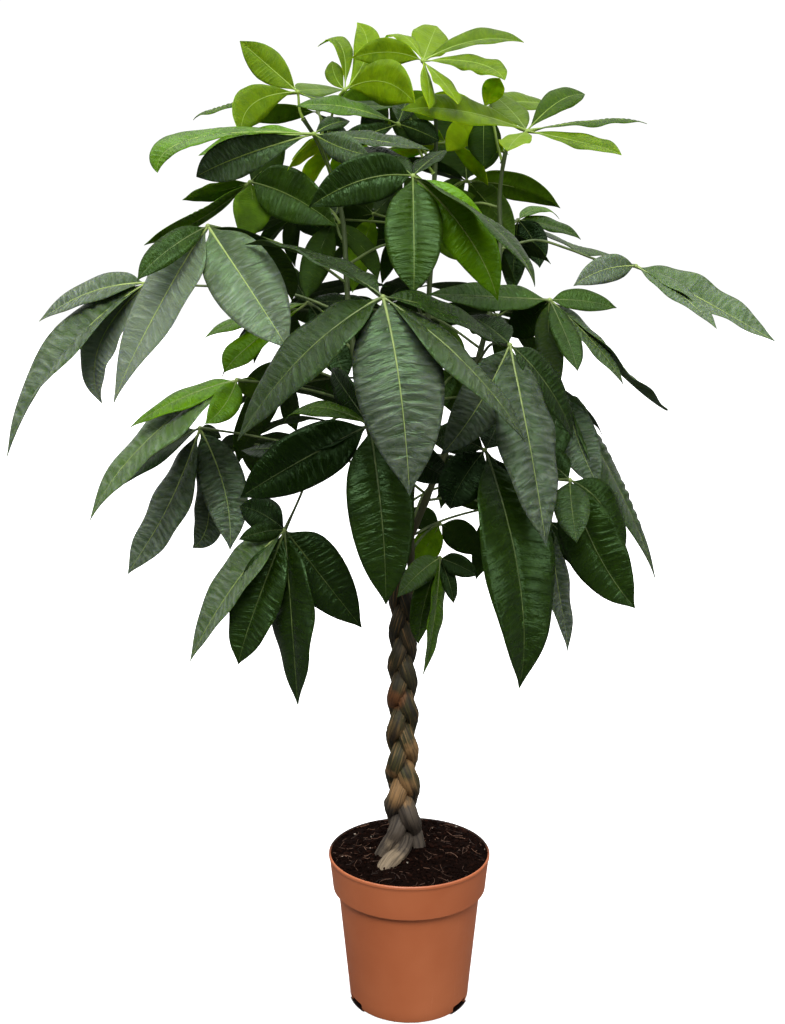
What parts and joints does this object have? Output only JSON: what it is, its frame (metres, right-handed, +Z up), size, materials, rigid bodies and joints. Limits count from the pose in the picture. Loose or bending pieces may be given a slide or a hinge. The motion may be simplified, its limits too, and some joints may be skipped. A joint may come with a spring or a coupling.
{
  "type": "potted money tree",
  "caption": "Houseplant with a plaited trunk, green stems and palmate leaves in a round plastic nursery pot filled with potting soil.",
  "frame": {"origin": "the centre of the pot's foot, on the floor", "axes": "+X to the plant's right as seen from the front, +Y to the back, +Z up along the trunk"},
  "size_m": [0.9624, 0.6518, 1.2442],
  "materials": {
    "pot_plastic": "satin",
    "potting_soil": "matte",
    "bark": "matte",
    "green_stem": "satin",
    "mature_leaf": "satin",
    "young_leaf": "satin"
  },
  "bodies": {
    "root": {"pot": "pot_plastic", "soil": "potting_soil", "trunk_strand_1": "bark", "trunk_strand_2": "bark", "trunk_strand_3": "bark", "green_stem_1": "green_stem", "green_stem_2": "green_stem", "green_stem_3": "green_stem", "leaf_01": "mature_leaf", "leaf_02": "mature_leaf", "leaf_03": "mature_leaf", "leaf_04": "young_leaf", "leaf_05": "young_leaf", "leaf_06": "young_leaf", "leaf_07": "young_leaf", "leaf_08": "young_leaf", "leaf_09": "young_leaf", "leaf_10": "mature_leaf", "leaf_11": "mature_leaf", "leaf_12": "mature_leaf", "leaf_13": "mature_leaf", "leaf_14": "mature_leaf", "leaf_15": "mature_leaf", "leaf_16": "mature_leaf", "leaf_17": "mature_leaf", "leaf_18": "mature_leaf", "leaf_19": "mature_leaf", "leaf_20": "mature_leaf", "leaf_21": "mature_leaf", "leaf_22": "mature_leaf", "leaf_23": "mature_leaf", "leaf_24": "mature_leaf", "leaf_25": "mature_leaf", "leaf_26": "mature_leaf", "leaf_27": "mature_leaf", "leaf_28": "mature_leaf", "leaf_29": "mature_leaf", "leaf_30": "young_leaf", "leaf_31": "young_leaf", "leaf_32": "young_leaf", "leaf_33": "mature_leaf", "leaf_34": "mature_leaf", "leaf_35": "mature_leaf", "leaf_36": "mature_leaf", "leaf_37": "mature_leaf", "leaf_38": "mature_leaf", "leaf_39": "mature_leaf", "leaf_40": "mature_leaf", "leaf_41": "mature_leaf", "leaf_42": "mature_leaf", "leaf_43": "mature_leaf", "leaf_44": "mature_leaf", "leaf_45": "mature_leaf", "leaf_46": "mature_leaf", "leaf_47": "mature_leaf", "leaf_48": "mature_leaf", "leaf_49": "young_leaf", "leaf_50": "young_leaf"}
  },
  "joints": []
}
